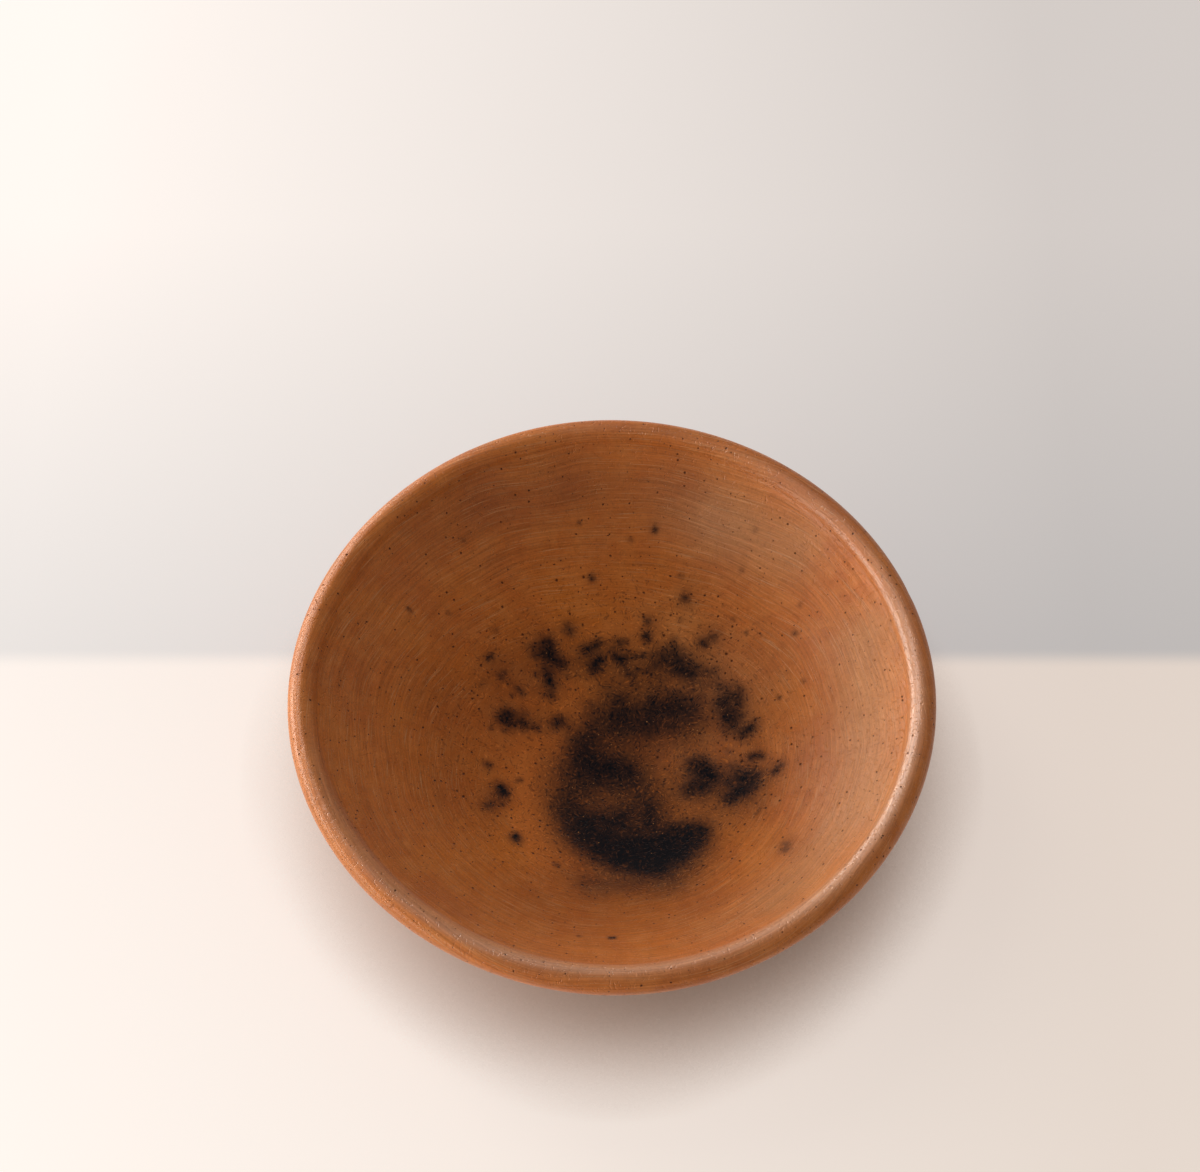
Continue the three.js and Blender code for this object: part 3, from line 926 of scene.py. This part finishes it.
# Floor, light and camera
stageLook = {
    "floorSize": 6.0,
    "matt": "#eadfd3",  # the floor as the light meets it
    "mattSeen": "#a49c93",  # its share in what the camera sees
    "frontLeft": "#ddd6d2",  # what the camera sees besides, towards the four corners, with painted light: paler on the left and darker to the right
    "frontRight": "#c4b8b0",
    "backLeft": "#c4c3c4",
    "backRight": "#97979a",
    "leftEdge": -0.2,
    "rightEdge": 0.16,
    "farEdge": 0.040,  # the table ends here in the picture, and a paper backdrop begins
    "farSoftness": 0.004,
    "gainReach": 0.22,  # painted light: both grow brighter away from that edge, up to here
    "topGain": (1.35, 1.29, 1.24, 1),
    "frontGain": (1.1, 1.12, 1.12, 1),
    "plain": (1, 1, 1, 1),  # no gain and no tint
    "shadowTint": "#b98d6e",  # light from the clay
    "shadowSamples": 8,
    "shadowReach": 0.052,  # the bowl darkens the floor this near
    "shadowRange": (0.45, 0.88),  # open sky over the floor, from full shadow to none
    "leftShadow": (-0.1, 0.5),  # place, and the light that is left in the full shadow there
    "rightShadow": (0.02, 0.1),
    "roughness": 0.8,
    "ior": 1.4,
}


# The floor is one flat square. Its table and backdrop are drawn by place, with painted light that is
# paler on the left and darker to the right, and the bowl's shadow is painted by how much open sky stands
# over each point.
def makeFloor():
    look = stageLook
    bpy.ops.mesh.primitive_plane_add(size=look["floorSize"])
    floor = bpy.context.object
    floor.name = "stage_floor"
    material = bpy.data.materials.new("paleTable")
    add, calc, ranged, mixed = nodeTools(material)
    colours = linearColours(look)
    place = add("TexCoord", output="Object")
    x, y = list(add("SeparateXYZ", None, {0: place}).node.outputs)[:2]
    aside = ranged(straight, x, look["leftEdge"], look["rightEdge"])
    fade = ranged(softStep, y, *[look["farEdge"] + side * look["farSoftness"] for side in (-1, 1)])
    front, back = [
        mixed(aside, colours[left], colours[right])
        for left, right in (("frontLeft", "frontRight"), ("backLeft", "backRight"))
    ]
    colour = mixed(fade, front, back)
    for gain, end in (("topGain", look["gainReach"]), ("frontGain", -look["gainReach"])):
        gained = mixed(ranged(straight, y, look["farEdge"], end), look["plain"], look[gain])
        colour = add("VectorMath", times, {0: colour, 1: gained})
    openSky = add("AmbientOcclusion", {"samples": look["shadowSamples"]}, {
        "Distance": look["shadowReach"],
    }, "AO")
    (leftX, leftLight), (rightX, rightLight) = look["leftShadow"], look["rightShadow"]
    lowest = ranged(straight, x, leftX, rightX, leftLight, rightLight)
    nearby = ranged(straight, openSky, *look["shadowRange"], lowest)
    tint = mixed(nearby, colours["shadowTint"], look["plain"])
    colour = add("VectorMath", times, {0: colour, 1: tint})
    path = add("LightPath").node.outputs
    seen = calc(larger, path["Is Camera Ray"], path["Is Glossy Ray"])
    glow = add("Emission", None, {"Color": colour, "Strength": calc(times, seen, nearby)})
    matt = add("BsdfPrincipled", None, {
        "Base Color": mixed(path["Is Camera Ray"], colours["matt"], colours["mattSeen"]),
        "Roughness": look["roughness"], "IOR": look["ior"],
    })
    add("OutputMaterial", None, {"Surface": add("AddShader", None, {0: matt, 1: glow})})
    floor.data.materials.append(material)


# Soft light: a wide low window on the left, a narrow one high at the back left, which gives the rim its
# sheen, and a dim sky that is brighter on the left. A lamp's turn is seen from above, 0 towards +X and 90
# towards +Y. Both angles are in degrees, and lengths are in metres.
light = {
    "window": {
        "turn": 170, "height": 8, "distance": 1.8, "size": (5.3, 0.6), "power": 64.0, "colour": "#fff4e8",
    },
    "skylight": {
        "turn": 131, "height": 40, "distance": 1.8, "size": (0.5, 1.2), "power": 6.5, "colour": "#fdf8f4",
    },
    "sky": {"colour": "#f4f1ee", "left": 0.58, "right": 0.29, "shown": 0.9},
}


def makeLamp(name):
    settings = light[name]
    lamp = bpy.data.lights.new(name, "AREA")
    lamp.shape = "RECTANGLE"
    lamp.size, lamp.size_y = settings["size"]
    lamp.energy = settings["power"]
    lamp.color = linearColour(settings["colour"])[:3]
    turn, height = math.radians(settings["turn"]), math.radians(settings["height"])
    aside, ahead = math.cos(turn), math.sin(turn)
    direction = Vector((math.cos(height) * aside, math.cos(height) * ahead, math.sin(height)))
    window = bpy.data.objects.new(name, lamp)
    bpy.context.scene.collection.objects.link(window)
    window.location = direction * settings["distance"]
    window.rotation_euler = direction.to_track_quat("Z", "Y").to_euler()


# The camera sees a brighter sky than the one that lights the bowl
def makeSky():
    sky = light["sky"]
    world = bpy.data.worlds.new("studio")
    bpy.context.scene.world = world
    add, _, ranged, _ = nodeTools(world)
    seen = add("LightPath", output="Is Camera Ray")
    x = add("SeparateXYZ", None, {0: add("TexCoord", output="Generated")})
    lit, shown = [
        add("Background", None, {"Color": linearColour(sky["colour"]), "Strength": level})
        for level in (ranged(straight, x, -1, 1, sky["left"], sky["right"]), sky["shown"])
    ]
    add("OutputWorld", None, {"Surface": add("MixShader", None, {0: seen, 1: lit, 2: shown})})


view = {
    "lens": 85.0,
    "sensor": 36.0,
    "elevation": 59.5,  # degrees above the plane of the rim
    "distance": 0.8767,  # from the middle of the rim
    "pictureSize": (1200, 1172),
    "rimCentreHeight": 50.3,  # mm, of the middle of the rim
    "rimCentrePixel": (612.0, 692.4),  # where it falls in the picture
}


# The camera looks along +Y and down, and stands so that the rim's middle falls on its pixel
def makeCamera():
    lens = bpy.data.cameras.new("pictureCamera")
    lens.lens, lens.sensor_width = view["lens"], view["sensor"]
    camera = bpy.data.objects.new("pictureCamera", lens)
    bpy.context.scene.collection.objects.link(camera)
    tilt = math.radians(view["elevation"])
    forward = Vector((0, math.cos(tilt), -math.sin(tilt)))
    right = Vector((1, 0, 0))
    up = right.cross(forward)
    width, height = view["pictureSize"]
    pixelsPerUnit = view["lens"] / view["sensor"] * width
    asideX = (view["rimCentrePixel"][0] - width / 2) / pixelsPerUnit
    asideY = (height / 2 - view["rimCentrePixel"][1]) / pixelsPerUnit
    target = Vector((0, 0, view["rimCentreHeight"] * mm))
    camera.location = target - view["distance"] * (forward + asideX * right + asideY * up)
    camera.rotation_euler = Matrix((right, up, -forward)).transposed().to_euler()
    bpy.context.scene.camera = camera


makeFloor()
makeLamp("window")
makeLamp("skylight")
makeSky()
makeCamera()
bpy.context.scene.view_settings.view_transform = "Standard"
print("stage, light and camera set")
